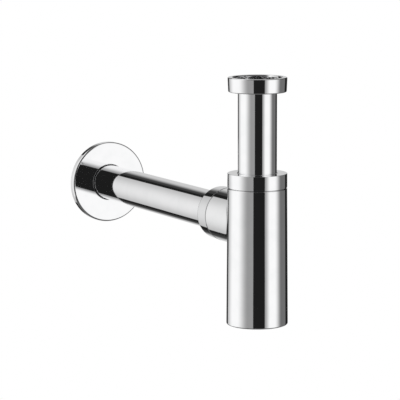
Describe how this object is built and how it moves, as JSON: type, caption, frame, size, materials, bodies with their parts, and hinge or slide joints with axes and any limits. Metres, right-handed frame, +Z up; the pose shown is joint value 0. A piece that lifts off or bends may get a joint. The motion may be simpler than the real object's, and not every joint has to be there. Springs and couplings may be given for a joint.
{
  "type": "basin bottle trap",
  "caption": "Round chromed basin trap: a bottle hangs from a union nut on a dip tube, and a straight outlet tube with a rosette leads to the wall.",
  "frame": {"origin": "middle of the inlet nut's open mouth, where the basin waste screws in", "axes": "+Z straight up along the inlet nut, the dip tube and the bottle; +Y level along the outlet tube to the wall"},
  "size_m": [0.0746, 0.3254, 0.2039],
  "materials": {
    "chrome": "turned brass, chromium plated and polished",
    "rubber": "plain black sealing rubber",
    "nylon": "natural white moulded nylon"
  },
  "bodies": {
    "inlet_nut": {"inlet_nut": "chrome"},
    "inlet_slip_ring": {"inlet_slip_ring": "nylon"},
    "inlet_tube": {"inlet_tube": "chrome", "inlet_gasket": "rubber"},
    "clamp_seal": {"clamp_seal": "rubber"},
    "bottle": {"bottle": "chrome"},
    "clamp_friction_ring": {"clamp_friction_ring": "nylon"},
    "clamp_ring": {"clamp_ring": "chrome"},
    "plug_ring": {"plug_ring": "rubber"},
    "base_plug": {"base_plug": "chrome"},
    "outlet_seal": {"outlet_seal": "rubber"},
    "outlet_tube": {"outlet_tube": "chrome"},
    "outlet_friction_ring": {"outlet_friction_ring": "nylon"},
    "outlet_nut": {"outlet_nut": "chrome"},
    "rosette_ring": {"rosette_ring": "rubber"},
    "rosette": {"rosette": "chrome"}
  },
  "joints": [
    {"name": "nut_slide", "type": "slide", "parent": "inlet_nut", "child": "inlet_slip_ring", "axis": [0, 0, 1], "range_m": [0, 0.05]},
    {"name": "inlet_swivel", "type": "hinge", "parent": "inlet_slip_ring", "child": "inlet_tube", "pos_m": [0, 0, -0.01], "axis": [0, 0, 1], "continuous": true},
    {"name": "height_slide", "type": "slide", "parent": "inlet_tube", "child": "clamp_seal", "axis": [0, 0, 1], "range_m": [-0.04, 0.006]},
    {"name": "bottle_swivel", "type": "hinge", "parent": "clamp_seal", "child": "bottle", "pos_m": [0, 0, -0.084], "axis": [0, 0, 1], "continuous": true},
    {"name": "clamp_travel", "type": "slide", "parent": "bottle", "child": "clamp_friction_ring", "axis": [0, 0, 1], "range_m": [0, 0.006]},
    {"name": "clamp_turn", "type": "hinge", "parent": "clamp_friction_ring", "child": "clamp_ring", "pos_m": [0, 0, -0.084], "axis": [0, 0, 1], "range_deg": [0, 1440]},
    {"name": "plug_travel", "type": "slide", "parent": "bottle", "child": "plug_ring", "axis": [0, 0, -1], "range_m": [0, 0.0045]},
    {"name": "plug_turn", "type": "hinge", "parent": "plug_ring", "child": "base_plug", "pos_m": [0, 0, -0.2], "axis": [0, 0, -1], "range_deg": [0, 1080]},
    {"name": "outlet_spin", "type": "hinge", "parent": "bottle", "child": "outlet_seal", "pos_m": [0, 0.054, -0.1192], "axis": [0, 1, 0], "continuous": true},
    {"name": "outlet_depth", "type": "slide", "parent": "outlet_seal", "child": "outlet_tube", "axis": [0, 1, 0], "range_m": [-0.0055, 0.014]},
    {"name": "outlet_nut_travel", "type": "slide", "parent": "bottle", "child": "outlet_friction_ring", "axis": [0, 1, 0], "range_m": [0, 0.0075]},
    {"name": "outlet_nut_turn", "type": "hinge", "parent": "outlet_friction_ring", "child": "outlet_nut", "pos_m": [0, 0.054, -0.1192], "axis": [0, 1, 0], "range_deg": [0, 1800]},
    {"name": "rosette_slide", "type": "slide", "parent": "outlet_tube", "child": "rosette_ring", "axis": [0, 1, 0], "range_m": [-0.19, 0.01]},
    {"name": "rosette_turn", "type": "hinge", "parent": "rosette_ring", "child": "rosette", "pos_m": [0, 0.27, -0.1192], "axis": [0, 1, 0], "continuous": true}
  ],
  "couplings": [
    {"joint": "clamp_travel", "follows": "clamp_turn", "m_per_rad": 0.00023873},
    {"joint": "plug_travel", "follows": "plug_turn", "m_per_rad": 0.00023873},
    {"joint": "outlet_nut_travel", "follows": "outlet_nut_turn", "m_per_rad": 0.00023873}
  ]
}
